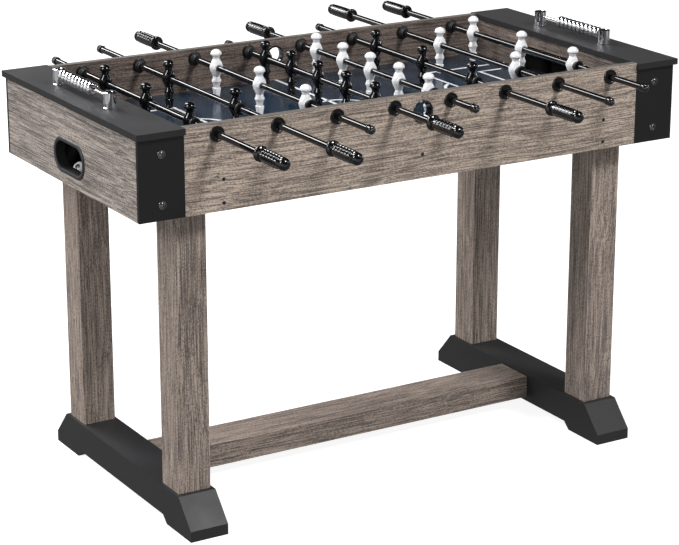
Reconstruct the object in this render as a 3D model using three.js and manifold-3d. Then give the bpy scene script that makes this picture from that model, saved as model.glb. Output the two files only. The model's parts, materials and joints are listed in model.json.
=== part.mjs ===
// A 48 in class foosball table, in millimetres, +Z up.
//
// The origin is on the floor, under the middle of the table. +X runs along the table, and -Y is its
// front. Eight rods cross the playfield along Y. Each one slides in and out with its bumper, and spins
// about its own axis with its men, its handle and its end cap.
import * as THREE from 'three';
import { mergeVertices } from 'three/addons/utils/BufferGeometryUtils.js';
import Module from 'manifold-3d';

// ---- Driving dimensions: the cabinet ----

const FIT_GAP = 0.3;
const TABLE_LENGTH = 1219.2;
const CAP_WIDTH = 605;
const CAP_THICKNESS = 12;
const CAP_INNER_X = 511.6;
const TOP_Z = 808;
const APRON_BOTTOM_Z = 641;
const BOARD_THICKNESS = 15;
const APRON_OUTER_Y = 294.7;
const APRON_INNER_Y = APRON_OUTER_Y - BOARD_THICKNESS;
const END_OUTER_X = 604.7;
const END_INNER_X = END_OUTER_X - BOARD_THICKNESS;
const CORNER_EDGE = 7.5;

const PLAYFIELD_Z = 720.5;
const PLAYFIELD_THICKNESS = 6;
const GOAL_WALL_X = 513.2;
const GOAL_WALL_THICKNESS = 12;
const GOAL_HALF_WIDTH = 95;
const GOAL_TOP_Z = 772;

// ---- Ball return: a moulded box behind the goal, with an oval pocket in the end apron ----

const RETURN_HALF_WIDTH = 100;
const RETURN_BOTTOM_Z = 664;
const RETURN_TOP_Z = 776;
const RETURN_WALL = 3;
const RETURN_RAMP_RISE = 34;
const POCKET_Z = 697;
const POCKET_WIDTH = 120;
const POCKET_HEIGHT = 54;
const POCKET_WALL = 3;
const POCKET_FLANGE = 8;
const POCKET_FLANGE_THICKNESS = 3;

// ---- Serve cup: a ringed hole through the middle of each long apron ----

const SERVE_Z = 773;
const SERVE_BORE_RADIUS = 18.6;
const SERVE_BARREL_RADIUS = 20.6;
const SERVE_FLANGE_RADIUS = 22.5;
const SERVE_FLANGE_THICKNESS = 3;

// ---- Base: legs, sled feet and stretcher ----

const LEG_X = 479;
const LEG_Y = 211;
const LEG_SIZE = 68;
const FOOT_WIDTH = 80;
const FOOT_HEIGHT = 76;
const FOOT_HALF_LENGTH = 304;
const FOOT_TOP_HALF_LENGTH = 255;
const FOOT_END_HEIGHT = 22;
const FOOT_ARCH_HEIGHT = 15;
const FOOT_ARCH_TOP_Y = 186;
const FOOT_ARCH_BOTTOM_Y = 202;
const STRETCHER_WIDTH = 94.6;
const STRETCHER_BOTTOM_Z = 25;
const STRETCHER_TOP_Z = 72;

// ---- Scorers: two posts, a thin rod between them and ten sliding beads ----

const SCORER_X = 561;
const SCORER_HALF_SPAN = 113;
const SCORER_POST_RADIUS = 13;
const SCORER_POST_HEIGHT = 32;
const SCORER_ROD_Z = TOP_Z + 21;
const SCORER_ROD_RADIUS = 3;
const BEAD_COUNT = 10;
const BEAD_PITCH = 14.3;
const BEAD_RADIUS = 13;
const BEAD_NECK_RADIUS = 9.5;
const BEAD_BORE_RADIUS = 3.6;

// ---- Rods ----

const ROD_PITCH = 127;
const ROD_Z = 788;
const ROD_RADIUS = 6.5;
const ROD_HOLE_RADIUS = 9.5;
const ROD_SIDES = 12;
const BUMPER_RADIUS = 12;
const BUMPER_BORE_RADIUS = ROD_RADIUS + FIT_GAP;
const BUMPER_LENGTH = 11;

const HANDLE_LENGTH = 95;
const HANDLE_FLANGE_RADIUS = 15;
const HANDLE_FLANGE_THICKNESS = 6;
const HANDLE_GRIP_RADIUS = 12.6;
const HANDLE_BORE_DEPTH = 60;
const END_CAP_LENGTH = 20;
const END_CAP_RADIUS = 8.6;
const END_CAP_BORE_DEPTH = 12;
const SLEEVE_RADIUS = ROD_RADIUS + FIT_GAP;

// ---- Men ----

const MAN_HALF_WIDTH = 14.4;
const MAN_HALF_DEPTH = 11;
const MAN_SIDES = 8;
const HEAD_TOP = 38;
const FOOT_TOP = -41;
const FOOT_BOTTOM = -60.5;
const FOOT_DEPTH = 13.6;
const FOOT_TOP_WIDTH = 15;
const FOOT_BOTTOM_WIDTH = 8;

// Where a rod's handle starts and where its cap ends, from the middle of its men. A rod with more men
// travels less, so it is shorter.
const ROD_KINDS = {
  two: { men: 2, pitch: 278, handleStart: 497.5, capEnd: 466 },
  three: { men: 3, pitch: 181, handleStart: 447.5, capEnd: 429 },
  five: { men: 5, pitch: 107.8, handleStart: 416, capEnd: 389 },
};

// The eight rods from -X to +X. handle is the side that the handle is on, and rest is how far the rod
// stands along Y from the middle of its travel.
const RODS = [
  { name: 'black_goalie', kind: 'three', team: 'black', handle: 'front', rest: -8 },
  { name: 'black_defence', kind: 'two', team: 'black', handle: 'front', rest: 8 },
  { name: 'white_attack', kind: 'three', team: 'white', handle: 'back', rest: 3.5 },
  { name: 'black_midfield', kind: 'five', team: 'black', handle: 'front', rest: -9 },
  { name: 'white_midfield', kind: 'five', team: 'white', handle: 'back', rest: 0 },
  { name: 'black_attack', kind: 'three', team: 'black', handle: 'front', rest: 2 },
  { name: 'white_defence', kind: 'two', team: 'white', handle: 'back', rest: -8 },
  { name: 'white_goalie', kind: 'three', team: 'white', handle: 'back', rest: 12 },
];

// The two ends of the table. The left end is the right end turned half a turn about Z. scorerShift is
// how far the scorer stands from the middle of the cap, along the turned end's own Y.
const ENDS = [
  { name: 'right', turn: 0, frontName: 'front', backName: 'back', scorerShift: -5 },
  { name: 'left', turn: Math.PI, frontName: 'back', backName: 'front', scorerShift: -19 },
];

// ---- Materials ----

const material = (color, roughness, metalness) =>
  new THREE.MeshStandardMaterial({ color, roughness, metalness });

const WOOD = material(0x8f8178, 0.6, 0);
const END_WOOD = material(0x9c8f87, 0.6, 0);
const DARK_WOOD = material(0x5d504a, 0.6, 0);
const CHARCOAL = material(0x404042, 0.55, 0);
const BLACK_BOARD = material(0x232326, 0.5, 0);
const PLAYFIELD_FINISH = material(0x28323e, 0.3, 0);
const BLACK_PLASTIC = material(0x141416, 0.4, 0);
const GREY_PLASTIC = material(0x3a3b3d, 0.5, 0);
const CHROME = material(0xd8d8da, 0.1, 1);
const BLACK_GLOSS = material(0x0c0c0e, 0.2, 0.3);
const WHITE_PLASTIC = material(0xf2f2f4, 0.35, 0);
const RUBBER = material(0x1b1b1d, 0.8, 0);

// ---- Solids ----

const wasm = await Module();
wasm.setup();

// Turns a closed three.js geometry into a manifold solid, without the flat triangles that a lathe
// leaves on its axis.
function solidOf(geometry) {
  const bare = geometry.clone();
  bare.deleteAttribute('normal');
  bare.deleteAttribute('uv');
  const welded = mergeVertices(bare, 1e-4);
  const corners = welded.index.array;
  const triangles = [];
  for (let i = 0; i < corners.length; i += 3) {
    const [a, b, c] = corners.slice(i, i + 3);
    if (a !== b && b !== c && c !== a) {
      triangles.push(a, b, c);
    }
  }
  return new wasm.Manifold(new wasm.Mesh({
    numProp: 3,
    vertProperties: welded.attributes.position.array,
    triVerts: new Uint32Array(triangles),
  }));
}

function geometryOf(solid) {
  const { vertProperties, triVerts } = solid.getMesh();
  const geometry = new THREE.BufferGeometry();
  geometry.setAttribute('position', new THREE.BufferAttribute(vertProperties, 3));
  geometry.setIndex(new THREE.BufferAttribute(triVerts, 1));
  geometry.computeVertexNormals();
  return geometry;
}

// A box from one [x, y, z] corner to the opposite one.
function boxSolid(low, high) {
  const [width, depth, height] = high.map((value, axis) => value - low[axis]);
  const geometry = new THREE.BoxGeometry(width, depth, height);
  geometry.translate(low[0] + width / 2, low[1] + depth / 2, low[2] + height / 2);
  return solidOf(geometry);
}

// Turns a profile of [radius, y] points about the Y axis.
function latheY(profile, sides) {
  const points = profile.map(([radius, y]) => new THREE.Vector2(radius, y));
  return new THREE.LatheGeometry(points, sides);
}

// Turns a profile of [radius, z] points about the Z axis.
function latheZ(profile, sides) {
  return latheY(profile, sides).rotateX(Math.PI / 2);
}

// A hollow round sleeve along Y.
function ringProfile(inner, outer, start, end) {
  return [[inner, start], [outer, start], [outer, end], [inner, end], [inner, start]];
}

// A straight round bar along Y through (x, z).
function barY(radius, sides, start, end, x, z) {
  const geometry = latheY([[0, start], [radius, start], [radius, end], [0, end]], sides);
  return solidOf(geometry.translate(x, 0, z));
}

// An outline of [x, z] points, as deep along Y as depth, centred on Y.
function extrudeAlongY(outline, depth) {
  const shape = new THREE.Shape(outline.map(([x, z]) => new THREE.Vector2(x, z)));
  const geometry = new THREE.ExtrudeGeometry(shape, { depth, bevelEnabled: false, curveSegments: 8 });
  return geometry.rotateX(Math.PI / 2).translate(0, depth / 2, 0);
}

// An outline of [y, z] points from one x to another.
function extrudeAlongX(shape, start, end) {
  const depth = end - start;
  const geometry = new THREE.ExtrudeGeometry(shape, { depth, bevelEnabled: false, curveSegments: 8 });
  return geometry.rotateX(Math.PI / 2).rotateZ(Math.PI / 2).translate(start, 0, 0);
}

function addMesh(parent, name, solid, finish) {
  const mesh = new THREE.Mesh(geometryOf(solid), finish);
  mesh.name = name;
  parent.add(mesh);
  return mesh;
}

// ---- Cabinet ----

const rodX = (index) => (index - (RODS.length - 1) / 2) * ROD_PITCH;

// A long apron between the corner boards, with a hole for each rod and one for the serve cup.
function apronSolid() {
  const halfLength = CAP_INNER_X - FIT_GAP;
  let apron = boxSolid([-halfLength, APRON_INNER_Y, APRON_BOTTOM_Z], [halfLength, APRON_OUTER_Y, TOP_Z]);
  const holeStart = APRON_INNER_Y - 1;
  const holeEnd = APRON_OUTER_Y + 1;
  RODS.forEach((rod, index) => {
    apron = apron.subtract(barY(ROD_HOLE_RADIUS, ROD_SIDES, holeStart, holeEnd, rodX(index), ROD_Z));
  });
  return apron.subtract(barY(SERVE_BARREL_RADIUS + FIT_GAP, 16, holeStart, holeEnd, 0, SERVE_Z));
}

function serveCupSolid() {
  const flangeFace = APRON_OUTER_Y + FIT_GAP + SERVE_FLANGE_THICKNESS;
  const profile = [
    [SERVE_BORE_RADIUS, APRON_INNER_Y],
    [SERVE_BARREL_RADIUS, APRON_INNER_Y],
    [SERVE_BARREL_RADIUS, APRON_OUTER_Y + FIT_GAP],
    [SERVE_FLANGE_RADIUS, APRON_OUTER_Y + FIT_GAP],
    [SERVE_FLANGE_RADIUS, flangeFace - 1],
    [SERVE_BARREL_RADIUS, flangeFace],
    [SERVE_BORE_RADIUS, flangeFace - 1],
    [SERVE_BORE_RADIUS, APRON_INNER_Y],
  ];
  return solidOf(latheY(profile, 16).translate(0, 0, SERVE_Z));
}

function addLongSide(table, name, turn) {
  const side = new THREE.Group();
  side.rotation.z = turn;
  addMesh(side, `${name}_apron`, apronSolid(), WOOD);
  addMesh(side, `${name}_serve_cup`, serveCupSolid(), BLACK_PLASTIC);
  table.add(side);
}

function playfieldSolid() {
  const halfLength = GOAL_WALL_X - FIT_GAP;
  const halfWidth = APRON_INNER_Y - FIT_GAP;
  return boxSolid(
    [-halfLength, -halfWidth, PLAYFIELD_Z - PLAYFIELD_THICKNESS],
    [halfLength, halfWidth, PLAYFIELD_Z],
  );
}

// ---- One end of the table, built at +X ----

const CAP_BOTTOM_Z = TOP_Z - CAP_THICKNESS;
const END_BOARD_TOP_Z = CAP_BOTTOM_Z - FIT_GAP;

function topCapSolid() {
  return boxSolid(
    [CAP_INNER_X, -CAP_WIDTH / 2, CAP_BOTTOM_Z],
    [TABLE_LENGTH / 2, CAP_WIDTH / 2, TOP_Z],
  );
}

// The corner board on the +Y side. Its outer end is rebated, and the end apron laps into the rebate.
function cornerBoardSolid(side) {
  const spanY = (near, far) => (side > 0 ? [near, far] : [-far, -near]);
  const [low, high] = spanY(APRON_INNER_Y, APRON_OUTER_Y);
  const board = boxSolid([CAP_INNER_X, low, APRON_BOTTOM_Z], [END_OUTER_X, high, END_BOARD_TOP_Z]);
  const [rebateLow, rebateHigh] = spanY(APRON_INNER_Y - 1, APRON_OUTER_Y - CORNER_EDGE);
  const rebate = boxSolid(
    [END_INNER_X - FIT_GAP, rebateLow, APRON_BOTTOM_Z - 1],
    [END_OUTER_X + 1, rebateHigh, END_BOARD_TOP_Z + 1],
  );
  return board.subtract(rebate);
}

// A slot outline with round ends in the YZ plane, grown outwards by grow.
function pocketShape(grow) {
  const radius = POCKET_HEIGHT / 2 + grow;
  const straight = (POCKET_WIDTH - POCKET_HEIGHT) / 2;
  const shape = new THREE.Shape();
  shape.moveTo(-straight, POCKET_Z - radius);
  shape.lineTo(straight, POCKET_Z - radius);
  shape.absarc(straight, POCKET_Z, radius, -Math.PI / 2, Math.PI / 2, false);
  shape.lineTo(-straight, POCKET_Z + radius);
  shape.absarc(-straight, POCKET_Z, radius, Math.PI / 2, 3 * Math.PI / 2, false);
  return shape;
}

function endApronSolid() {
  const halfWidth = APRON_OUTER_Y - CORNER_EDGE - FIT_GAP;
  const apron = boxSolid(
    [END_INNER_X, -halfWidth, APRON_BOTTOM_Z],
    [END_OUTER_X, halfWidth, END_BOARD_TOP_Z],
  );
  const hole = extrudeAlongX(pocketShape(POCKET_WALL + FIT_GAP), END_INNER_X - 1, END_OUTER_X + 1);
  return apron.subtract(solidOf(hole));
}

const GOAL_WALL_BACK_X = GOAL_WALL_X + GOAL_WALL_THICKNESS;

// The inner end wall stands on its own foot at the apron's bottom edge, and has the goal mouth cut
// through it just above the playfield.
function goalWallSolid() {
  const halfWidth = APRON_INNER_Y - FIT_GAP;
  const wall = boxSolid(
    [GOAL_WALL_X, -halfWidth, APRON_BOTTOM_Z],
    [GOAL_WALL_BACK_X, halfWidth, END_BOARD_TOP_Z],
  );
  const mouth = boxSolid(
    [GOAL_WALL_X - 1, -GOAL_HALF_WIDTH, PLAYFIELD_Z],
    [GOAL_WALL_BACK_X + 1, GOAL_HALF_WIDTH, GOAL_TOP_Z],
  );
  return wall.subtract(mouth);
}

// A box behind the goal mouth whose floor slopes down to an oval pocket in the end apron.
function ballReturnSolid() {
  const innerX = GOAL_WALL_BACK_X + FIT_GAP;
  const outerX = END_INNER_X - FIT_GAP;
  const floorZ = POCKET_Z - POCKET_HEIGHT / 2;
  const shell = boxSolid(
    [innerX, -RETURN_HALF_WIDTH, RETURN_BOTTOM_Z],
    [outerX, RETURN_HALF_WIDTH, RETURN_TOP_Z],
  );
  const insideHalfWidth = RETURN_HALF_WIDTH - RETURN_WALL;
  const insideTop = RETURN_TOP_Z - RETURN_WALL;
  const insideInner = innerX + RETURN_WALL;
  const insideOuter = outerX - RETURN_WALL;
  const inside = solidOf(extrudeAlongY([
    [insideInner, floorZ + RETURN_RAMP_RISE],
    [insideOuter, floorZ],
    [insideOuter, insideTop],
    [insideInner, insideTop],
  ], insideHalfWidth * 2));
  const mouth = boxSolid(
    [innerX - 1, -GOAL_HALF_WIDTH, PLAYFIELD_Z],
    [insideInner + 1, GOAL_HALF_WIDTH, GOAL_TOP_Z],
  );
  const flangeBack = END_OUTER_X + FIT_GAP;
  const flangeFace = flangeBack + POCKET_FLANGE_THICKNESS;
  const spigot = solidOf(extrudeAlongX(pocketShape(POCKET_WALL), insideOuter, flangeFace));
  const flange = solidOf(extrudeAlongX(pocketShape(POCKET_FLANGE), flangeBack, flangeFace));
  const pocket = solidOf(extrudeAlongX(pocketShape(0), insideOuter - 1, flangeFace + 1));
  return shell.add(spigot).add(flange).subtract(inside).subtract(mouth).subtract(pocket);
}

function legSolid(side) {
  const y = side * LEG_Y;
  return boxSolid(
    [LEG_X - LEG_SIZE / 2, y - LEG_SIZE / 2, FOOT_HEIGHT + FIT_GAP],
    [LEG_X + LEG_SIZE / 2, y + LEG_SIZE / 2, PLAYFIELD_Z - PLAYFIELD_THICKNESS - FIT_GAP],
  );
}

// A sled foot: sloped at both ends, and cut away underneath so that it stands on two pads.
function footSolid() {
  const half = [
    [FOOT_ARCH_TOP_Y, FOOT_ARCH_HEIGHT],
    [FOOT_ARCH_BOTTOM_Y, 0],
    [FOOT_HALF_LENGTH, 0],
    [FOOT_HALF_LENGTH, FOOT_END_HEIGHT],
    [FOOT_TOP_HALF_LENGTH, FOOT_HEIGHT],
  ];
  const otherHalf = half.map(([y, z]) => [-y, z]).reverse();
  const shape = new THREE.Shape([...half, ...otherHalf].map(([y, z]) => new THREE.Vector2(y, z)));
  return solidOf(extrudeAlongX(shape, LEG_X - FOOT_WIDTH / 2, LEG_X + FOOT_WIDTH / 2));
}

function postProfile() {
  const rim = SCORER_POST_RADIUS - 1;
  return [
    [0, TOP_Z + FIT_GAP],
    [SCORER_POST_RADIUS, TOP_Z + FIT_GAP],
    [SCORER_POST_RADIUS, TOP_Z + SCORER_POST_HEIGHT - 1],
    [rim, TOP_Z + SCORER_POST_HEIGHT],
    [0, TOP_Z + SCORER_POST_HEIGHT],
  ];
}

function scorerFrameSolid(shift) {
  const post = (y) => solidOf(latheZ(postProfile(), 16).translate(SCORER_X, y, 0));
  const low = shift - SCORER_HALF_SPAN;
  const high = shift + SCORER_HALF_SPAN;
  const rod = barY(SCORER_ROD_RADIUS, 8, low, high, SCORER_X, SCORER_ROD_Z);
  return rod.add(post(low)).add(post(high));
}

// Ten ring beads packed against the post on the -Y side, as one grooved sleeve.
function beadStackSolid(shift) {
  const start = shift - SCORER_HALF_SPAN + SCORER_POST_RADIUS + FIT_GAP;
  const shoulder = 3;
  const profile = [[BEAD_BORE_RADIUS, start]];
  for (let bead = 0; bead < BEAD_COUNT; bead += 1) {
    const beadStart = start + bead * BEAD_PITCH;
    profile.push([BEAD_NECK_RADIUS, beadStart]);
    profile.push([BEAD_RADIUS, beadStart + shoulder]);
    profile.push([BEAD_RADIUS, beadStart + BEAD_PITCH - shoulder]);
  }
  const end = start + BEAD_COUNT * BEAD_PITCH;
  profile.push([BEAD_NECK_RADIUS, end], [BEAD_BORE_RADIUS, end], [BEAD_BORE_RADIUS, start]);
  return solidOf(latheY(profile, 10).translate(SCORER_X, 0, SCORER_ROD_Z));
}

function addEnd(table, { name, turn, frontName, backName, scorerShift }) {
  const end = new THREE.Group();
  end.rotation.z = turn;
  addMesh(end, `${name}_end_apron`, endApronSolid(), END_WOOD);
  addMesh(end, `${name}_top_cap`, topCapSolid(), CHARCOAL);
  addMesh(end, `${name}_goal_wall`, goalWallSolid(), DARK_WOOD);
  addMesh(end, `${name}_ball_return`, ballReturnSolid(), GREY_PLASTIC);
  addMesh(end, `${name}_foot`, footSolid(), CHARCOAL);
  addMesh(end, `${name}_scorer_frame`, scorerFrameSolid(scorerShift), CHROME);
  addMesh(end, `${name}_scorer_beads`, beadStackSolid(scorerShift), CHROME);
  [[-1, frontName], [1, backName]].forEach(([side, sideName]) => {
    addMesh(end, `${name}_${sideName}_corner_board`, cornerBoardSolid(side), BLACK_BOARD);
    addMesh(end, `${name}_${sideName}_leg`, legSolid(side), WOOD);
  });
  table.add(end);
}

function stretcherSolid() {
  const halfLength = LEG_X - FOOT_WIDTH / 2 - FIT_GAP;
  return boxSolid(
    [-halfLength, -STRETCHER_WIDTH / 2, STRETCHER_BOTTOM_Z],
    [halfLength, STRETCHER_WIDTH / 2, STRETCHER_TOP_Z],
  );
}

// ---- Rods, men, handles, caps and bumpers, built about the rod's own axis along Y ----

// A man's head is a domed cap on a short neck.
const HEAD_PROFILE = [[0, 20], [8, 21], [8.2, 24.5], [11.4, 27], [9.2, 34], [0, HEAD_TOP]];

function bodyGeometry() {
  const profile = [
    [0, FOOT_TOP - 1],
    [7, FOOT_TOP],
    [10, -29],
    [8, -17],
    [MAN_HALF_WIDTH, 0],
    [8, 19],
    [0, 24],
  ];
  return latheZ(profile, MAN_SIDES).scale(1, MAN_HALF_DEPTH / MAN_HALF_WIDTH, 1);
}

function manFootGeometry() {
  return extrudeAlongY([
    [-FOOT_BOTTOM_WIDTH / 2, FOOT_BOTTOM],
    [FOOT_BOTTOM_WIDTH / 2, FOOT_BOTTOM],
    [FOOT_TOP_WIDTH / 2, FOOT_TOP],
    [-FOOT_TOP_WIDTH / 2, FOOT_TOP],
  ], FOOT_DEPTH);
}

function manSolid() {
  const head = solidOf(latheZ(HEAD_PROFILE, MAN_SIDES));
  return head.add(solidOf(bodyGeometry())).add(solidOf(manFootGeometry()));
}

// The rod itself, with its men pinned on it. It ends inside the handle and inside the end cap.
function menRodSolid({ men, pitch, handleStart, capEnd }) {
  const start = -(capEnd - END_CAP_LENGTH + END_CAP_BORE_DEPTH - FIT_GAP);
  const end = handleStart + HANDLE_BORE_DEPTH - FIT_GAP;
  let rod = barY(ROD_RADIUS, ROD_SIDES, start, end, 0, 0);
  const man = manSolid();
  for (let index = 0; index < men; index += 1) {
    rod = rod.add(man.translate([0, (index - (men - 1) / 2) * pitch, 0]));
  }
  return rod;
}

function handleSolid({ handleStart }) {
  const at = (fraction) => handleStart + HANDLE_LENGTH * fraction;
  const flangeEnd = handleStart + HANDLE_FLANGE_THICKNESS;
  const profile = [
    [0, handleStart + HANDLE_BORE_DEPTH],
    [SLEEVE_RADIUS, handleStart + HANDLE_BORE_DEPTH],
    [SLEEVE_RADIUS, handleStart],
    [HANDLE_FLANGE_RADIUS, handleStart],
    [HANDLE_FLANGE_RADIUS, flangeEnd],
    [HANDLE_GRIP_RADIUS - 1.4, flangeEnd + 2],
    [HANDLE_GRIP_RADIUS, at(0.3)],
    [HANDLE_GRIP_RADIUS, at(0.9)],
    [HANDLE_GRIP_RADIUS - 4.5, at(0.99)],
    [0, at(1)],
  ];
  return solidOf(latheY(profile, ROD_SIDES));
}

function endCapSolid({ capEnd }) {
  const open = -(capEnd - END_CAP_LENGTH);
  const boreEnd = open - END_CAP_BORE_DEPTH;
  const profile = [
    [0, -capEnd],
    [END_CAP_RADIUS * 0.55, -capEnd + 1.2],
    [END_CAP_RADIUS, -capEnd + 6.5],
    [END_CAP_RADIUS, open],
    [SLEEVE_RADIUS, open],
    [SLEEVE_RADIUS, boreEnd],
    [0, boreEnd],
  ];
  return solidOf(latheY(profile, ROD_SIDES));
}

// A rubber ring beside the man that stands nearest to the front of the table.
function bumperSolid({ men, pitch }, towardsFront) {
  const manFace = (men - 1) / 2 * pitch + MAN_HALF_DEPTH + FIT_GAP;
  const [start, end] = towardsFront > 0
    ? [manFace, manFace + BUMPER_LENGTH]
    : [-manFace - BUMPER_LENGTH, -manFace];
  return solidOf(latheY(ringProfile(BUMPER_BORE_RADIUS, BUMPER_RADIUS, start, end), ROD_SIDES));
}

// A rod is built with its handle towards +Y, and turned half a turn when its handle is at the front.
function addRod(table, row, index) {
  const kind = ROD_KINDS[row.kind];
  const atFront = row.handle === 'front';
  const rod = new THREE.Group();
  rod.position.set(rodX(index), row.rest, ROD_Z);
  rod.rotation.z = atFront ? Math.PI : 0;
  const men = row.team === 'white' ? WHITE_PLASTIC : BLACK_GLOSS;
  addMesh(rod, `${row.name}_rod_and_men`, menRodSolid(kind), men);
  addMesh(rod, `${row.name}_handle`, handleSolid(kind), BLACK_GLOSS);
  addMesh(rod, `${row.name}_end_cap`, endCapSolid(kind), BLACK_GLOSS);
  addMesh(rod, `${row.name}_bumper`, bumperSolid(kind, atFront ? 1 : -1), RUBBER);
  table.add(rod);
}

// ---- Assembly ----

const table = new THREE.Group();
addLongSide(table, 'back', 0);
addLongSide(table, 'front', Math.PI);
addMesh(table, 'playfield', playfieldSolid(), PLAYFIELD_FINISH);
ENDS.forEach((end) => addEnd(table, end));
addMesh(table, 'stretcher', stretcherSolid(), WOOD);
RODS.forEach((row, index) => addRod(table, row, index));

export default table;
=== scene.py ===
"""The looks of a 48 in class foosball table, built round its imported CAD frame.

Lengths are metres and +Z is up. +X runs along the table, and -Y is its front. Every place comes from the
frame's own boxes, and the constants below give the sizes of the details that the frame leaves plain.
"""

import json
import math

import bmesh
import bpy
from mathutils import Matrix, Vector

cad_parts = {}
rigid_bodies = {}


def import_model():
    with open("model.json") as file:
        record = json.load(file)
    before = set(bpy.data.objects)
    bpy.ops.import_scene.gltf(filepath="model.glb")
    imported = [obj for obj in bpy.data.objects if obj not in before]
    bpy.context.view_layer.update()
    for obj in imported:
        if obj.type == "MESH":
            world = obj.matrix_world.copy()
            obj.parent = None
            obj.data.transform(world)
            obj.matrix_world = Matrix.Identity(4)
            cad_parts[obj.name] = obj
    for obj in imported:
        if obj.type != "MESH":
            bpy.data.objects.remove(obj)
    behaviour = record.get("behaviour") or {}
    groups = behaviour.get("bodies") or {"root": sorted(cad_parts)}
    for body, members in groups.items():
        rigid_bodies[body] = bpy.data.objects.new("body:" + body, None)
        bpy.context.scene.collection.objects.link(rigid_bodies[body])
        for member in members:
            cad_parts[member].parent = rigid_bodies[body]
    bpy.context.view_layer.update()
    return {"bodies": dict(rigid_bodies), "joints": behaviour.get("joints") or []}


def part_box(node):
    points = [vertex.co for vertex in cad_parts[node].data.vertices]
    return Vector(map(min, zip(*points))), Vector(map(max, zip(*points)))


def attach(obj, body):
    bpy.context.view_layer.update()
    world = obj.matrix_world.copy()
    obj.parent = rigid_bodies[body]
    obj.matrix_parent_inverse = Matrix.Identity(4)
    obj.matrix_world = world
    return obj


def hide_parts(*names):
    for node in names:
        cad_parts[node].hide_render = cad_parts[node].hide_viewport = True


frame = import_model()

# ---- Camera and stage ----

CAMERA_PLACE = (-2.3541, -3.9153, 1.8394)
CAMERA_TILT = math.radians(90 - 17.838)
CAMERA_TURN = math.radians(-30.919)
CAMERA_LENS = 123.3
FLOOR_SIZE = 120

# How bright the room is from straight down (0) through the horizon (0.5) to straight up (1).
WORLD_BASE = ((0.0, 0.22), (0.45, 0.22), (0.50, 0.03), (1.0, 0.03))

# Walls of light: the way each one lies, the cosines to that way between which it fades in, and its
# brightness from straight down to straight up.
WORLD_WALLS = (
    ((-0.97, -0.24, 0.0), 0.3, 0.9, ((0.28, 0.0), (0.33, 0.28), (0.65, 0.28), (0.75, 0.0))),
    ((-0.97, -0.24, 0.0), 0.3, 0.9, ((0.43, 0.0), (0.45, 0.85), (0.54, 0.85), (0.57, 0.0))),
    ((0.0, -1.0, 0.0), 0.68, 0.80, ((0.20, 0.0), (0.26, 0.42), (0.47, 0.42), (0.50, 0.0))),
    ((0.514, 0.858, 0.0), 0.0, 0.5, ((0.44, 0.0), (0.48, 0.8), (0.54, 0.8), (0.58, 0.0))),
)

# ---- Sizes that most pieces share ----

BOARD_EDGE = 0.0009
CLEARANCE = 0.0003
ROUND = 64
SIDE_ENDS = (("front", -1), ("back", 1))
TABLE_ENDS = (("left", -1), ("right", 1))

# ---- Wood grain ----

GRAIN_WAVER = 0.03
FIBRE_SCALES = (14, 640)
FIBRE_RANGE = (0.1, 1.9)

# Layers over the fibres: how often they change in a metre along and across the grain, the detail of
# their noise, and the range of tone that they multiply by.
GRAIN_LAYERS = (
    (3, 430, 2, 0.45, 1.55),
    (2, 210, 2, 0.66, 1.34),
    (4, 11, 2, 0.86, 1.14),
    (260, 420, 1, 0.45, 1.55),
)

# How often the broad mottle of a plain finish changes in a metre.
MOTTLE_SCALE = 14

# ---- Men ----

MEN_IN_ROW = {"goalie": 3, "defence": 2, "attack": 3, "midfield": 5}
MAN_PITCH = {2: 0.278, 3: 0.181, 5: 0.1078}
MAN_SEGMENTS = 40
COLLAR_RADIUS = 0.0098
COLLAR_HALF_LENGTH = 0.011

# Sections of a man from the foot up: height from the rod's axis, half width along X, half depth along
# Y, and how square the section is (2 is an ellipse). They are in millimetres.
MAN_SECTIONS = [
    (-60.5, 3.2, 6.0, 7), (-59.8, 4.0, 6.8, 7), (-42.5, 7.4, 6.8, 7), (-41.5, 6.9, 6.3, 6),
    (-41.2, 6.1, 6.1, 2.2), (-40.0, 6.5, 6.4, 2), (-37.0, 7.1, 7.1, 2), (-33.5, 7.7, 7.7, 2),
    (-31.7, 8.3, 8.2, 2), (-30.5, 8.9, 8.8, 2), (-28.8, 10.1, 9.7, 2), (-27.0, 10.1, 9.7, 2),
    (-25.0, 9.3, 9.0, 2), (-22.9, 8.2, 8.0, 2), (-19.5, 7.4, 7.2, 2), (-18.2, 6.8, 6.4, 2),
    (-17.5, 7.5, 7.0, 2), (-15.8, 8.5, 7.8, 2), (-12.3, 9.9, 8.8, 2), (-10.0, 11.2, 9.5, 2),
    (-6.4, 13.0, 10.4, 2), (-1.5, 14.2, 10.9, 2), (1.5, 14.4, 11.0, 2), (3.5, 14.1, 10.8, 2),
    (7.8, 12.7, 10.3, 2), (12.5, 10.2, 9.2, 2), (15.0, 8.6, 8.2, 2), (17.5, 7.3, 7.2, 2),
    (18.0, 6.9, 6.9, 2), (20.6, 6.9, 6.9, 2), (22.0, 7.7, 7.7, 2), (24.4, 8.2, 8.2, 2),
    (24.7, 8.6, 8.6, 2), (26.3, 10.6, 10.6, 2), (26.8, 11.2, 11.2, 2),
]
CAP_RADIUS = 11.5
CAP_BASE = 28.0
HEAD_TOP = 38.0

# ---- Rod fittings ----

ROD_RADIUS = 0.0065
ROD_HOLE_RADIUS = 0.0095
SLEEVE_RADIUS = 0.0069
BEARING_RADIUS = 0.015
BEARING_BARREL_RADIUS = 0.0092
BEARING_INNER_FLANGE = 0.0025
BEARING_OUTER_FLANGE = 0.0034
BUMPER_LENGTH = 0.011
GRIP_ROWS = 10
GRIP_DASHES = 6
GRIP_SEGMENTS = 120
GRIP_STATIONS = 84
GRIP_RADIUS = 0.0126
GRIP_BODY_START = 0.0115
GRIP_BORE_DEPTH = 0.06
DASH_HEIGHT = 0.0011
NOSE_RADIUS = 0.0043
NOSE_STRETCH = 0.85

# ---- Foot ----

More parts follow.
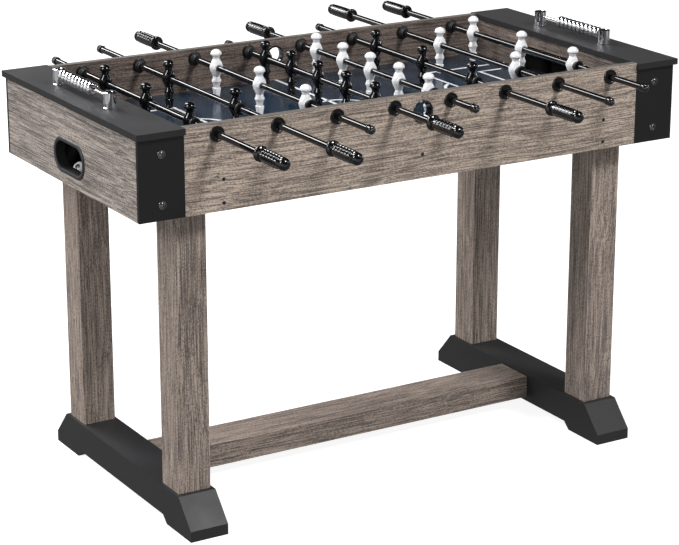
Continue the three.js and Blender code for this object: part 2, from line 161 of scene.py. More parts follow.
FOOT_ARCH_TOP = 0.186
FOOT_ARCH_BOTTOM = 0.202
FOOT_ARCH_HEIGHT = 0.015
FOOT_END_HEIGHT = 0.022
FOOT_SLOPE = 0.049

# ---- Fasteners, lines and ball ----

BOLT_X = 0.558
BOLT_HEIGHTS = (0.765, 0.670)
SCREW_SPOTS = ((-0.432, 0.701), (-0.432, 0.656), (0.0, 0.689), (0.432, 0.701), (0.432, 0.656))
LINE_WIDTH = 0.007
LINE_THICKNESS = 0.00015
PENALTY_X = 0.297
PENALTY_HALF_WIDTH = 0.168
GOAL_BOX_X = 0.414
GOAL_BOX_HALF_WIDTH = 0.121
ARC_CENTRE_X = 0.332
ARC_RADIUS = 0.0715
CENTRE_CIRCLE_RADIUS = 0.061
BALL_RADIUS = 0.0165
BALL_Y = 0.028
BALL_DEPTH = 0.0205
BALL_FACING = (-0.40, -0.88, 0.26)
PATCH_REACH = math.cos(math.radians(18))

# ---- Ball return, serve cup and scorer ----

POCKET_WIDTH = 0.120
POCKET_HEIGHT = 0.054
POCKET_Z = 0.697
POCKET_WALL = 0.003
BALL_FLOOR = 0.645
FLANGE_GROWTH = 0.008
RETURN_RAMP_RISE = 0.058
RETURN_TROUGH = 0.036
GOAL_HALF_WIDTH = 0.095
GOAL_LINTEL = 0.004
SERVE_BORE = 0.0186
SERVE_HOLE_RADIUS = 0.0209
BEAD_COUNT = 10
BEAD_BORE = 0.0036
SCORER_BAR_RADIUS = 0.003


# ---- Node helpers ----


def add(tree, kind, **settings):
    """A new shader node with its settings."""
    node = tree.nodes.new(kind)
    for key, value in settings.items():
        setattr(node, key, value)
    return node


def new_material(name, **sockets):
    """A material whose Principled shader has these socket values. Underscores stand for spaces."""
    material = bpy.data.materials.new(name)
    material.use_nodes = True
    shader = material.node_tree.nodes["Principled BSDF"]
    for socket, value in sockets.items():
        shader.inputs[socket.replace("_", " ")].default_value = value
    return material, material.node_tree, shader


def scaled_space(tree, scale):
    """Object coordinates, in metres, times a scale."""
    space = add(tree, "ShaderNodeTexCoord")
    mapping = add(tree, "ShaderNodeMapping")
    mapping.inputs["Scale"].default_value = (scale,) * 3
    tree.links.new(space.outputs["Object"], mapping.inputs["Vector"])
    return mapping.outputs["Vector"]


def noise(tree, vector, detail, roughness=0.55):
    node = add(tree, "ShaderNodeTexNoise")
    node.inputs["Scale"].default_value = 1.0
    node.inputs["Detail"].default_value = detail
    node.inputs["Roughness"].default_value = roughness
    tree.links.new(vector, node.inputs["Vector"])
    return node.outputs["Fac"]


def ramp(tree, factor, stops):
    """Maps a factor through (position, colour) stops."""
    node = add(tree, "ShaderNodeValToRGB")
    elements = node.color_ramp.elements
    while len(elements) < len(stops):
        elements.new(0.5)
    for element, (position, colour) in zip(elements, stops):
        element.position = position
        element.color = (*colour, 1)
    tree.links.new(factor, node.inputs["Fac"])
    return node.outputs["Color"]


def spread(tree, factor, low, high):
    """Maps a noise factor to values from low to high."""
    node = add(tree, "ShaderNodeMapRange")
    node.inputs["From Min"].default_value = 0.25
    node.inputs["From Max"].default_value = 0.75
    node.inputs["To Min"].default_value = low
    node.inputs["To Max"].default_value = high
    tree.links.new(factor, node.inputs["Value"])
    return node.outputs["Result"]


def multiply(tree, first, second):
    node = add(tree, "ShaderNodeMix", data_type="RGBA", blend_type="MULTIPLY")
    node.inputs["Factor"].default_value = 1.0
    tree.links.new(first, node.inputs["A"])
    tree.links.new(second, node.inputs["B"])
    return node.outputs["Result"]


def bump(tree, shader, height, strength, distance):
    node = add(tree, "ShaderNodeBump")
    node.inputs["Strength"].default_value = strength
    node.inputs["Distance"].default_value = distance
    tree.links.new(height, node.inputs["Height"])
    tree.links.new(node.outputs["Normal"], shader.inputs["Normal"])


# ---- Materials ----


def wood(name, grain, colour, seed=0.0):
    """Driftwood laminate with its grain along one axis, about a middle colour."""
    material, tree, shader = new_material(name, Specular_IOR_Level=0.35)

    def along(run, across):
        return tuple(run if axis == grain else across for axis in "XYZ")

    def layer(vector, run, across, detail, roughness=0.5):
        mapping = add(tree, "ShaderNodeMapping")
        mapping.inputs["Scale"].default_value = along(run, across)
        mapping.inputs["Location"].default_value = (seed, seed * 2, seed * 3)
        tree.links.new(vector, mapping.inputs["Vector"])
        return noise(tree, mapping.outputs["Vector"], detail=detail, roughness=roughness)

    space = add(tree, "ShaderNodeTexCoord").outputs["Object"]
    waver = add(tree, "ShaderNodeVectorMath", operation="MULTIPLY_ADD")
    tree.links.new(layer(space, 2.2, 3, 1), waver.inputs[0])
    waver.inputs[1].default_value = along(0, GRAIN_WAVER)
    tree.links.new(space, waver.inputs[2])
    bent = waver.outputs["Vector"]
    fibres = layer(bent, *FIBRE_SCALES, 2, 0.6)
    value = spread(tree, fibres, *FIBRE_RANGE)
    for run, across, detail, low, high in GRAIN_LAYERS:
        product = add(tree, "ShaderNodeMath", operation="MULTIPLY")
        tree.links.new(value, product.inputs[0])
        tree.links.new(spread(tree, layer(bent, run, across, detail), low, high), product.inputs[1])
        value = product.outputs["Value"]
    half = add(tree, "ShaderNodeMath", operation="MULTIPLY")
    half.inputs[1].default_value = 0.5
    tree.links.new(value, half.inputs[0])
    dark = tuple(channel * 0.3 * tint for channel, tint in zip(colour, (0.98, 0.98, 1.04)))
    light = tuple(channel * 1.7 * tint for channel, tint in zip(colour, (1.0, 1.0, 0.97)))
    toned = ramp(tree, half.outputs["Value"], [(0.15, dark), (0.5, colour), (0.85, light)])
    tree.links.new(toned, shader.inputs["Base Color"])
    tree.links.new(spread(tree, fibres, 0.62, 0.48), shader.inputs["Roughness"])
    bump(tree, shader, fibres, 0.3, 0.0004)
    return material


def speckled(name, colour, contrast, roughness, grain=900, bump_depth=0.00015, strength=0.2, **sockets):
    """A plain moulded or laminated finish with a fine mottle in its colour, gloss and surface."""
    material, tree, shader = new_material(name, **sockets)
    fine = noise(tree, scaled_space(tree, grain), detail=3)
    broad = noise(tree, scaled_space(tree, MOTTLE_SCALE), detail=3)
    low = tuple(channel * (1 - contrast) for channel in colour)
    high = tuple(channel * (1 + contrast) for channel in colour)
    fine_tone = ramp(tree, fine, [(0.3, low), (0.7, high)])
    shade = (1 - contrast * 0.5,) * 3
    broad_tone = ramp(tree, broad, [(0.3, shade), (0.7, (1, 1, 1))])
    tree.links.new(multiply(tree, fine_tone, broad_tone), shader.inputs["Base Color"])
    tree.links.new(spread(tree, broad, roughness * 0.88, roughness * 1.12), shader.inputs["Roughness"])
    if strength:
        bump(tree, shader, fine, strength, bump_depth)
    return material


apron_wood = wood("apron_wood", "X", (0.372, 0.303, 0.254))
leg_wood = wood("leg_wood", "Z", (0.300, 0.244, 0.210), 3.1)
stretcher_wood = wood("stretcher_wood", "X", (0.240, 0.194, 0.167), 7.7)
end_wood = wood("end_wood", "Y", (0.293, 0.255, 0.231), 1.3)
# A darker copy of the wood for the goal walls: painted shade inside the table.
inner_wood = wood("inner_wood", "Y", (0.150, 0.119, 0.102), 5.2)
# A darker copy of the apron wood for the aprons' inward faces: painted shade inside the table.
inside_wood_painted_shade = wood("inside_wood_painted_shade", "X", (0.140, 0.108, 0.092), 9.4)
edge_band = speckled("edge_band", (0.15, 0.135, 0.122), 0.2, 0.5, grain=260)
charcoal = speckled("charcoal_board", (0.037, 0.037, 0.039), 0.22, 0.45, grain=700, strength=0.3,
                    Specular_IOR_Level=0.4)
foot_charcoal = speckled("foot_charcoal", (0.026, 0.026, 0.028), 0.22, 0.45, grain=700, strength=0.3,
                         Specular_IOR_Level=0.35)
# The caps' upright sides get a darker copy of the charcoal: painted shade.
cap_sides_painted_shade = speckled("cap_side_shade_charcoal", (0.020, 0.020, 0.021), 0.2, 0.45, grain=700, strength=0.3,
                    Specular_IOR_Level=0.35)
black_board = speckled("black_board", (0.008, 0.008, 0.009), 0.2, 0.45, grain=700, strength=0.25,
                       Specular_IOR_Level=0.35)
field_blue = speckled("playfield_print", (0.017, 0.032, 0.054), 0.10, 0.17, grain=500, strength=0.05,
                      Specular_IOR_Level=0.32)
line_white = speckled("playfield_lines", (0.86, 0.87, 0.88), 0.04, 0.3, grain=500, strength=0)
return_grey = speckled("return_plastic", (0.028, 0.029, 0.031), 0.15, 0.38, grain=1400, strength=0.3)
return_dark = speckled("return_inside", (0.005, 0.005, 0.006), 0.2, 0.5, grain=1400)
cup_black = speckled("serve_cup_plastic", (0.008, 0.008, 0.009), 0.2, 0.12, strength=0, Coat_Weight=0.6)
chrome = speckled("chrome", (0.74, 0.74, 0.76), 0.02, 0.05, grain=60, strength=0, Metallic=1.0)
rod_black = speckled("rod_black", (0.004, 0.004, 0.005), 0.2, 0.035, strength=0)
man_black = speckled("man_black", (0.004, 0.004, 0.005), 0.2, 0.07, strength=0)
man_white = speckled("man_white", (0.86, 0.86, 0.88), 0.02, 0.26, strength=0, Coat_Weight=0.3,
                     Coat_Roughness=0.1)
grip_black = speckled("grip_plastic", (0.004, 0.004, 0.005), 0.2, 0.12, grain=900, strength=0.04,
                      Specular_IOR_Level=0.5, Coat_Weight=0.25, Coat_Roughness=0.05)
cap_black = speckled("cap_plastic", (0.006, 0.006, 0.007), 0.2, 0.16, strength=0, Coat_Weight=0.4)
bearing_black = speckled("bearing_plastic", (0.008, 0.008, 0.008), 0.25, 0.32, grain=1200, strength=0.3,
                         Specular_IOR_Level=0.35)
rubber = speckled("bumper_rubber", (0.010, 0.010, 0.011), 0.25, 0.55, grain=1500, strength=0.4)
bolt_black = speckled("bolt_black", (0.20, 0.20, 0.21), 0.2, 0.22, grain=1500, Metallic=1.0)
screw_black = speckled("screw_black", (0.010, 0.010, 0.011), 0.2, 0.3, grain=1500)
ball_white = speckled("ball_white", (0.62, 0.63, 0.62), 0.04, 0.35, grain=900, strength=0.15)
ball_black = speckled("ball_black", (0.010, 0.010, 0.011), 0.2, 0.35, grain=900)


# ---- Mesh helpers ----


def to_piece(name, bm, *materials):
    """Turns a bmesh into an object with its faces pointing out and its materials in slots."""
    bmesh.ops.recalc_face_normals(bm, faces=bm.faces[:])
    mesh = bpy.data.meshes.new(name)
    bm.to_mesh(mesh)
    bm.free()
    for material in materials:
        mesh.materials.append(material)
    piece = bpy.data.objects.new(name, mesh)
    bpy.context.scene.collection.objects.link(piece)
    return piece


def smooth(piece, angle=35):
    """Smooth shading, with a crease wherever faces meet at more than angle degrees."""
    piece.data.polygons.foreach_set("use_smooth", [True] * len(piece.data.polygons))
    piece.data.set_sharp_from_angle(angle=math.radians(angle))
    return piece


def belongs(piece, body, slot, *nodes):
    """Rides a piece on a body and hides the CAD nodes that it stands for. The slot argument is not used."""
    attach(piece, body)
    if nodes:
        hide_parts(*nodes)
    return piece


def oriented(axis, first, second, along):
    """A point from its place in the plane across an axis and its place along it."""
    order = {"X": (along, first, second), "Y": (first, along, second), "Z": (first, second, along)}
    return Vector(order[axis])


def skin(bm, rings, closed_loop):
    """Faces between rings of vertices, each a list. A ring of one vertex is a pole."""
    pairs = list(zip(rings, rings[1:]))
    if closed_loop:
        pairs.append((rings[-1], rings[0]))
    for lower, upper in pairs:
        count = max(len(lower), len(upper))
        for i in range(count):
            j = (i + 1) % count
            below = [lower[i % len(lower)], lower[j % len(lower)]]
            above = [upper[j % len(upper)], upper[i % len(upper)]]
            unique = list(dict.fromkeys(below + above))
            if len(unique) > 2:
                bm.faces.new(unique)


def add_lathe(bm, profile, axis, centre=(0, 0, 0), segments=ROUND):
    """A closed turned solid. The profile is (radius, along) points, from pole to pole or round a ring."""
    rings = []
    for radius, along in profile:
        count = 1 if radius < 1e-7 else segments
        turns = [2 * math.pi * step / segments for step in range(count)]
        places = [oriented(axis, radius * math.cos(turn), radius * math.sin(turn), along) for turn in turns]
        rings.append([bm.verts.new(place + Vector(centre)) for place in places])
    skin(bm, rings, len(rings[0]) > 1)


def add_prism(bm, outline, axis, start, end):
    """A closed prism of an outline in the plane across an axis."""
    rings = [[bm.verts.new(oriented(axis, a, b, along)) for a, b in outline] for along in (start, end)]
    skin(bm, rings, False)
    bm.faces.new(rings[0])
    bm.faces.new(rings[1])


def add_box(bm, low, high):
    outline = [(low[0], low[1]), (high[0], low[1]), (high[0], high[1]), (low[0], high[1])]
    add_prism(bm, outline, "Z", low[2], high[2])


def add_ribbon(bm, path, width, low, high, closed=False):
    """A thin closed strip along a path of (x, y) points, with mitred corners."""
    count = len(path)
    columns = []
    for i, (x, y) in enumerate(path):
        here = Vector((x, y))
        before = Vector(path[i - 1]) if closed or i else None
        after = Vector(path[(i + 1) % count]) if closed or i < count - 1 else None
        into = (here - before).normalized() if before else (after - here).normalized()
        out = (after - here).normalized() if after else into
        normal_in = Vector((-into.y, into.x))
        normal = (normal_in + Vector((-out.y, out.x))).normalized()
        reach = width / 2 / normal.dot(normal_in)
        left, right = here + normal * reach, here - normal * reach
        corners = ((left, low), (right, low), (right, high), (left, high))
        columns.append([bm.verts.new((corner.x, corner.y, z)) for corner, z in corners])
    skin(bm, columns, closed)
    if not closed:
        bm.faces.new(columns[0])
        bm.faces.new(columns[-1])


def soften(bm, width, segments=2, angle=30):
    """Rounds every edge that is sharper than angle degrees."""
    limit = math.radians(angle)
    edges = [edge for edge in bm.edges if len(edge.link_faces) == 2 and edge.calc_face_angle() > limit]
    bmesh.ops.bevel(
        bm, geom=edges, offset=width, segments=segments, profile=0.5, affect="EDGES", clamp_overlap=True,
    )


def combine(piece, other, operation):
    """Cuts other from piece, or joins it on, and removes other."""
    modifier = piece.modifiers.new("combine", "BOOLEAN")
    modifier.operation = operation
    modifier.solver = "EXACT"
    modifier.object = other
    bpy.context.view_layer.update()
    graph = bpy.context.evaluated_depsgraph_get()
    mesh = bpy.data.meshes.new_from_object(piece.evaluated_get(graph))
    piece.modifiers.clear()
    piece.data = mesh
    bpy.data.objects.remove(other)
    return piece


def cut(piece, build, *arguments):
    """Cuts away the solid that build(bm, ...) makes."""
    bm = bmesh.new()
    build(bm, *arguments)
    return combine(piece, to_piece("cutter", bm), "DIFFERENCE")


def board(name, low, high, *materials, edge=BOARD_EDGE):
    """A board with softened edges."""
    bm = bmesh.new()
    add_box(bm, low, high)
    soften(bm, edge)
    return to_piece(name, bm, *materials)


def paint_faces(piece, index, test):
    """Gives material slot index to the faces whose normal and centre pass a test."""
    for face in piece.data.polygons:
        if test(face.normal, face.center):
            face.material_index = index
    return piece


def stadium(width, height, grow, middle, steps=24):
    """A slot outline with round ends, as (y, z) points about height middle, grown by grow."""
    radius = height / 2 + grow
    straight = (width - height) / 2
    points = []
    for centre, start in ((straight, -90), (-straight, 90)):
        for step in range(steps + 1):
            turn = math.radians(start + 180 * step / steps)
            points.append((centre + radius * math.cos(turn), middle + radius * math.sin(turn)))
    return points


# ---- Cabinet ----

rod_names = [body[: -len("_rod")] for body in frame["bodies"] if body.endswith("_rod")]
rod_x = {name: sum(corner.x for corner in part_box(f"{name}_bumper")) / 2 for name in rod_names}
rod_z = sum(corner.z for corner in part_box(f"{rod_names[0]}_bumper")) / 2
playfield_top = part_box("playfield")[1].z


def make_apron(side_name, side):
    node = f"{side_name}_apron"
    low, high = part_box(node)
    piece = board(f"{node}_board", low, high, apron_wood, edge_band, inside_wood_painted_shade)
    inside, outside = low.y - 0.01, high.y + 0.01
    for name in rod_names:
        hole = [(0, inside), (ROD_HOLE_RADIUS, inside), (ROD_HOLE_RADIUS, outside), (0, outside)]
        cut(piece, add_lathe, hole, "Y", (rod_x[name], 0, rod_z), 32)
    cup_low, cup_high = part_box(f"{side_name}_serve_cup")
    hole = [(0, inside), (SERVE_HOLE_RADIUS, inside), (SERVE_HOLE_RADIUS, outside), (0, outside)]
    cut(piece, add_lathe, hole, "Y", (0, 0, (cup_low.z + cup_high.z) / 2))
    paint_faces(piece, 1, lambda normal, centre: abs(normal.z) > 0.9 or abs(normal.x) > 0.95)
    # The inward face gets the darker wood, as painted shade.
    paint_faces(piece, 2, lambda normal, centre: normal.y * side < -0.9)
    belongs(smooth(piece), "table", "apron_wood", node)


def make_serve_cup(side_name, side):
    """A ring lip on the outer face and a glossy flared throat through the board."""
    node = f"{side_name}_serve_cup"
    low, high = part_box(node)
    face = high.y if side > 0 else -low.y
    inner = low.y if side > 0 else -high.y
    flange = (high.x - low.x) / 2
    barrel = flange - 0.0019
    back = face - 0.003
    profile = [
        (SERVE_BORE - 0.0016, inner), (barrel, inner), (barrel, back),
        (flange, back), (flange, face - 0.0014),
        (flange - 0.0008, face - 0.0004), (flange - 0.002, face), (flange - 0.0032, face - 0.0005),
        (SERVE_BORE, face - 0.0022), (SERVE_BORE - 0.0010, face - 0.008),
        (SERVE_BORE - 0.0016, inner + 0.004),
    ]
    bm = bmesh.new()
    profile = [(radius, side * along) for radius, along in profile]
    add_lathe(bm, profile, "Y", (0, 0, (low.z + high.z) / 2), 96)
    belongs(smooth(to_piece(f"{node}_moulding", bm, cup_black), 50), "table", "black_plastic", node)


def make_playfield():
    low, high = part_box("playfield")
    piece = board("playfield_board", low, high, field_blue, edge=0.0004)
    belongs(smooth(piece), "table", "playfield_print", "playfield")
    bottom, top = high.z - 0.0001, high.z + LINE_THICKNESS
    edge_y = high.y - 0.001
    bm = bmesh.new()
    add_ribbon(bm, [(0, -edge_y), (0, edge_y)], LINE_WIDTH, bottom, top)
    for end in (-1, 1):
        goal_line = end * (high.x - 0.001)
        for front, half in ((PENALTY_X, PENALTY_HALF_WIDTH), (GOAL_BOX_X, GOAL_BOX_HALF_WIDTH)):
            path = [(goal_line, half), (end * front, half), (end * front, -half), (goal_line, -half)]
            add_ribbon(bm, path, LINE_WIDTH, bottom, top)
        reach = math.acos((ARC_CENTRE_X - PENALTY_X + LINE_WIDTH / 2) / ARC_RADIUS)
        turns = [reach * (2 * step / 40 - 1) for step in range(41)]
        arc = [(end * (ARC_CENTRE_X - ARC_RADIUS * math.cos(t)), ARC_RADIUS * math.sin(t)) for t in turns]
        add_ribbon(bm, arc, LINE_WIDTH, bottom, top)
    turns = [2 * math.pi * step / 96 for step in range(96)]
    circle = [(CENTRE_CIRCLE_RADIUS * math.cos(t), CENTRE_CIRCLE_RADIUS * math.sin(t)) for t in turns]
    add_ribbon(bm, circle, LINE_WIDTH, bottom, top, closed=True)
    spot = [(0, bottom), (0.008, bottom), (0.008, top), (0, top)]
    add_lathe(bm, spot, "Z", segments=40)
    belongs(to_piece("playfield_lines", bm, line_white), "table", "playfield_print")


def make_corner_board(end_name, side_name, side, end):
    """A board whose outer end is rebated for the end apron to lap into."""
    node = f"{end_name}_{side_name}_corner_board"
    low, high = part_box(node)
    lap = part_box(f"{end_name}_end_apron")
    inner_x, outer_x = (low.x, high.x) if end > 0 else (high.x, low.x)
    inner_y, outer_y = (low.y, high.y) if side > 0 else (high.y, low.y)
    rebate_x = (lap[0].x if end > 0 else lap[1].x) - end * CLEARANCE
    rebate_y = (lap[1].y if side > 0 else lap[0].y) + side * CLEARANCE
    outline = [
        (inner_x, inner_y), (rebate_x, inner_y), (rebate_x, rebate_y),
        (outer_x, rebate_y), (outer_x, outer_y), (inner_x, outer_y),
    ]
    bm = bmesh.new()
    add_prism(bm, outline, "Z", low.z, high.z)
    soften(bm, 0.0012, 3)
    belongs(smooth(to_piece(f"{node}_panel", bm, black_board)), "table", "black_board", node)


def make_bolt(name, centre, side):
    """A hex socket bolt in a cup washer, with its axis along Y. centre is on the board's face."""
    proud = [
        (0, 0), (0.0082, 0), (0.0082, 0.0008), (0.0076, 0.0016), (0.0066, 0.0017), (0.0060, 0.0007),
        (0.0054, 0.0007), (0.0053, 0.0020), (0.0043, 0.0027), (0, 0.0029),
    ]
    bm = bmesh.new()
    add_lathe(bm, [(radius, side * out) for radius, out in proud], "Y", centre, 48)
    piece = to_piece(name, bm, bolt_black)
    socket = [(0, side * 0.0008), (0.0027, side * 0.0008), (0.0027, side * 0.004), (0, side * 0.004)]
    cut(piece, add_lathe, socket, "Y", centre, 6)
    belongs(smooth(piece, 40), "table", "black_board")


def make_screw(name, centre, side):
    """A small countersunk screw with a cross recess."""
    proud = [(0, -0.0004), (0.0034, -0.0004), (0.0036, 0.0002), (0.0028, 0.0007), (0, 0.0009)]
    bm = bmesh.new()
    add_lathe(bm, [(radius, side * out) for radius, out in proud], "Y", centre, 32)
    piece = to_piece(name, bm, screw_black)
    x, y, z = centre
    near, far = sorted((y + side * 0.0002, y + side * 0.002))
    for half_x, half_z in ((0.0019, 0.0004), (0.0004, 0.0019)):
        cut(piece, add_box, (x - half_x, near, z - half_z), (x + half_x, far, z + half_z))
    belongs(smooth(piece, 40), "table", "black_board")


def make_end_apron(end_name, end):
    node = f"{end_name}_end_apron"
    low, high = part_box(node)
    piece = board(f"{node}_board", low, high, end_wood, edge_band)
    hole = stadium(POCKET_WIDTH, POCKET_HEIGHT, POCKET_WALL + CLEARANCE, POCKET_Z)
    cut(piece, add_prism, hole, "X", low.x - 0.01, high.x + 0.01)
    paint_faces(piece, 1, lambda normal, centre: abs(normal.z) > 0.95 and centre.z < low.z + 0.001)
    belongs(smooth(piece), "table", "end_wood", node)


def make_goal_wall(end_name, end):
    node = f"{end_name}_goal_wall"
    low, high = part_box(node)
    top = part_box(f"{end_name}_ball_return")[1].z - GOAL_LINTEL
    # The goal wall's wood is a darker copy of the wood, as painted shade inside the table.
    piece = board(f"{node}_board", low, high, inner_wood, black_board)
    mouth_low = (low.x - 0.01, -GOAL_HALF_WIDTH, playfield_top)
    cut(piece, add_box, mouth_low, (high.x + 0.01, GOAL_HALF_WIDTH, top))
    inside = GOAL_HALF_WIDTH + 0.001
    lowest, highest = low.z + 0.01, high.z - 0.01
    paint_faces(piece, 1, lambda normal, centre: (
        abs(normal.x) < 0.5 and abs(centre.y) < inside and lowest < centre.z < highest))
    belongs(smooth(piece), "table", "inner_wood", node)


def make_ball_return(end_name, end):
    """A flanged oval mouth in the end apron, with a ramped box behind it up to the goal."""
    node = f"{end_name}_ball_return"
    low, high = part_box(node)
    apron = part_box(f"{end_name}_end_apron")
    flange_x = high.x if end > 0 else low.x
    box_inner = low.x if end > 0 else high.x
    box_outer = (apron[0].x if end > 0 else apron[1].x) - end * CLEARANCE
    flange_back = (apron[1].x if end > 0 else apron[0].x) + end * CLEARANCE
    half, top = high.y, high.z

    bm = bmesh.new()
    near, far = sorted((box_inner, box_outer))
    add_box(bm, (near, -half, BALL_FLOOR - POCKET_WALL), (far, half, top))
    soften(bm, 0.002, 3)
    piece = to_piece(f"{node}_box", bm, return_dark)
    inner, outer = box_inner + end * POCKET_WALL, box_outer - end * POCKET_WALL
    hollow = [
        (inner, BALL_FLOOR + RETURN_RAMP_RISE), (outer - end * RETURN_TROUGH, BALL_FLOOR),
        (outer, BALL_FLOOR), (outer, top - POCKET_WALL), (inner, top - POCKET_WALL),
    ]
    cut(piece, add_prism, hollow, "Y", POCKET_WALL - half, half - POCKET_WALL)
    near, far = sorted((box_inner, inner))
    mouth_low = (near - 0.001, -GOAL_HALF_WIDTH, playfield_top)
    mouth_high = (far + 0.001, GOAL_HALF_WIDTH, top - GOAL_LINTEL)
    cut(piece, add_box, mouth_low, mouth_high)
    opening = stadium(POCKET_WIDTH, POCKET_HEIGHT, 0, POCKET_Z)
    cut(piece, add_prism, opening, "X", outer - end * 0.001, box_outer + end * 0.001)
    belongs(smooth(piece), "table", "return_plastic", node)

    mouth = [
        (0.0, box_outer), (0.0, flange_x - end * 0.0014),
        (0.0012, flange_x - end * 0.0004), (0.0026, flange_x),
        (FLANGE_GROWTH - 0.0016, flange_x - end * 0.0002),
        (FLANGE_GROWTH - 0.0005, flange_x - end * 0.0010),
        (FLANGE_GROWTH, flange_back + end * 0.0004), (FLANGE_GROWTH - 0.0004, flange_back),
        (POCKET_WALL, flange_back), (POCKET_WALL, box_outer),
    ]
    rings = []
    bm = bmesh.new()
    for grow, x in mouth:
        outline = stadium(POCKET_WIDTH, POCKET_HEIGHT, grow, POCKET_Z, 32)
        rings.append([bm.verts.new((x, y, z)) for y, z in outline])
    skin(bm, rings, True)
    bmesh.ops.remove_doubles(bm, verts=bm.verts[:], dist=1e-6)
    piece = smooth(to_piece(f"{node}_mouth", bm, return_grey, return_dark), 40)
    throat_end = abs(flange_x) - 0.0012
    paint_faces(piece, 1, lambda normal, centre: abs(normal.x) < 0.3 and abs(centre.x) < throat_end)
    belongs(piece, "table", "return_plastic", node)


def make_cap(end_name):
    node = f"{end_name}_top_cap"
    low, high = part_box(node)
    piece = board(f"{node}_panel", low, high, charcoal, cap_sides_painted_shade, edge=0.0012)
    # Painted shade: the upright sides take the darker charcoal.
    paint_faces(piece, 1, lambda normal, centre: abs(normal.z) < 0.3)
    belongs(smooth(piece), "table", "charcoal_board", node)


# ---- Base ----


def make_leg(end_name, side_name):
    node = f"{end_name}_{side_name}_leg"
    piece = board(f"{node}_post", *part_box(node), leg_wood, edge=0.0014)
    belongs(smooth(piece), "table", "apron_wood", node)


def make_foot(end_name):
    """A sled foot, sloped at both ends and cut away underneath."""
    node = f"{end_name}_foot"
    low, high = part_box(node)
    half = [
        (FOOT_ARCH_TOP, low.z + FOOT_ARCH_HEIGHT), (FOOT_ARCH_BOTTOM, low.z),
        (high.y, low.z), (high.y, low.z + FOOT_END_HEIGHT), (high.y - FOOT_SLOPE, high.z),
    ]
    outline = half + [(-y, z) for y, z in reversed(half)]
    bm = bmesh.new()
    add_prism(bm, outline, "X", low.x, high.x)
    soften(bm, 0.0014, 3, 20)
    belongs(smooth(to_piece(f"{node}_sled", bm, foot_charcoal)), "table", "charcoal_board", node)


def make_stretcher():
    piece = board("stretcher_rail", *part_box("stretcher"), stretcher_wood, edge=0.0014)
    belongs(smooth(piece), "table", "apron_wood", "stretcher")


# ---- Scorers ----


def make_scorer(end_name):
    node = f"{end_name}_scorer_frame"
    low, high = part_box(node)
    x = (low.x + high.x) / 2
    radius = (high.x - low.x) / 2
    beads_low, beads_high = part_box(f"{end_name}_scorer_beads")
    rod_height = (beads_low.z + beads_high.z) / 2
    height = high.z - low.z
    profile = [
        (0, 0), (radius, 0), (radius, 0.0016), (radius - 0.0010, 0.0024),
        (radius - 0.0010, height - 0.0034), (radius - 0.0004, height - 0.0030),
        (radius - 0.0004, height - 0.0014), (radius - 0.0016, height - 0.0003),
        (radius - 0.0030, height), (radius * 0.55, height),
        (radius * 0.5, height - 0.0008), (0, height - 0.0010),
    ]
    for name, y in (("front", low.y + radius), ("back", high.y - radius)):
        bm = bmesh.new()
        add_lathe(bm, profile, "Z", (x, y, low.z))
        belongs(smooth(to_piece(f"{end_name}_scorer_{name}_post", bm, chrome), 40), "table", "chrome", node)
    bm = bmesh.new()
    start, end = low.y + radius, high.y - radius
    bar = [(0, start), (SCORER_BAR_RADIUS, start), (SCORER_BAR_RADIUS, end), (0, end)]
    add_lathe(bm, bar, "Y", (x, 0, rod_height), 32)
    belongs(smooth(to_piece(f"{end_name}_scorer_bar", bm, chrome)), "table", "chrome", node)

    pitch = (beads_high.y - beads_low.y) / BEAD_COUNT
    bead_radius = (beads_high.x - beads_low.x) / 2
    for bead in range(BEAD_COUNT):
        bm = bmesh.new()
        add_lathe(bm, bead_profile(bead_radius, pitch), "Y", (x, beads_low.y + bead * pitch, rod_height))
        piece = smooth(to_piece(f"{end_name}_bead_{bead + 1}", bm, chrome), 50)
        belongs(piece, f"{end_name}_beads", "chrome", f"{end_name}_scorer_beads")


def bead_profile(radius, pitch):
    """A ring with a rounded rim on a narrower hub, from 0 to almost one pitch along."""
    hub = radius * 0.55
    end = pitch - 0.0003
    rim_start, rim_end = pitch * 0.13, pitch * 0.87
    middle, reach = (rim_start + rim_end) / 2, (rim_end - rim_start) / 2
    arc = []
    for step in range(13):
        turn = math.radians(-90 + 180 * step / 12)
        arc.append((radius - reach + reach * math.cos(turn), middle + reach * math.sin(turn)))
    return [(BEAD_BORE, 0), (hub, 0), (hub, rim_start), *arc, (hub, rim_end), (hub, end), (BEAD_BORE, end)]


# ---- Men ----


def section(height, half_width, half_depth, squareness):
    """A ring of points on a superellipse, in metres."""
    points = []
    for step in range(MAN_SEGMENTS):
        turn = 2 * math.pi * step / MAN_SEGMENTS
        cos, sin = math.cos(turn), math.sin(turn)
        power = 2 / squareness
        x = half_width * math.copysign(abs(cos) ** power, cos)
        y = half_depth * math.copysign(abs(sin) ** power, sin)
        points.append((x / 1000, y / 1000, height / 1000))
    return points


def domed_cap():
    """The sections of the domed cap on a man's head."""
    turns = [math.radians(9 * step) for step in range(10)]
    radii = [CAP_RADIUS * math.cos(turn) for turn in turns]
    heights = [CAP_BASE + (HEAD_TOP - CAP_BASE) * math.sin(turn) for turn in turns]
    return [(height, radius, radius, 2) for height, radius in zip(heights, radii)]


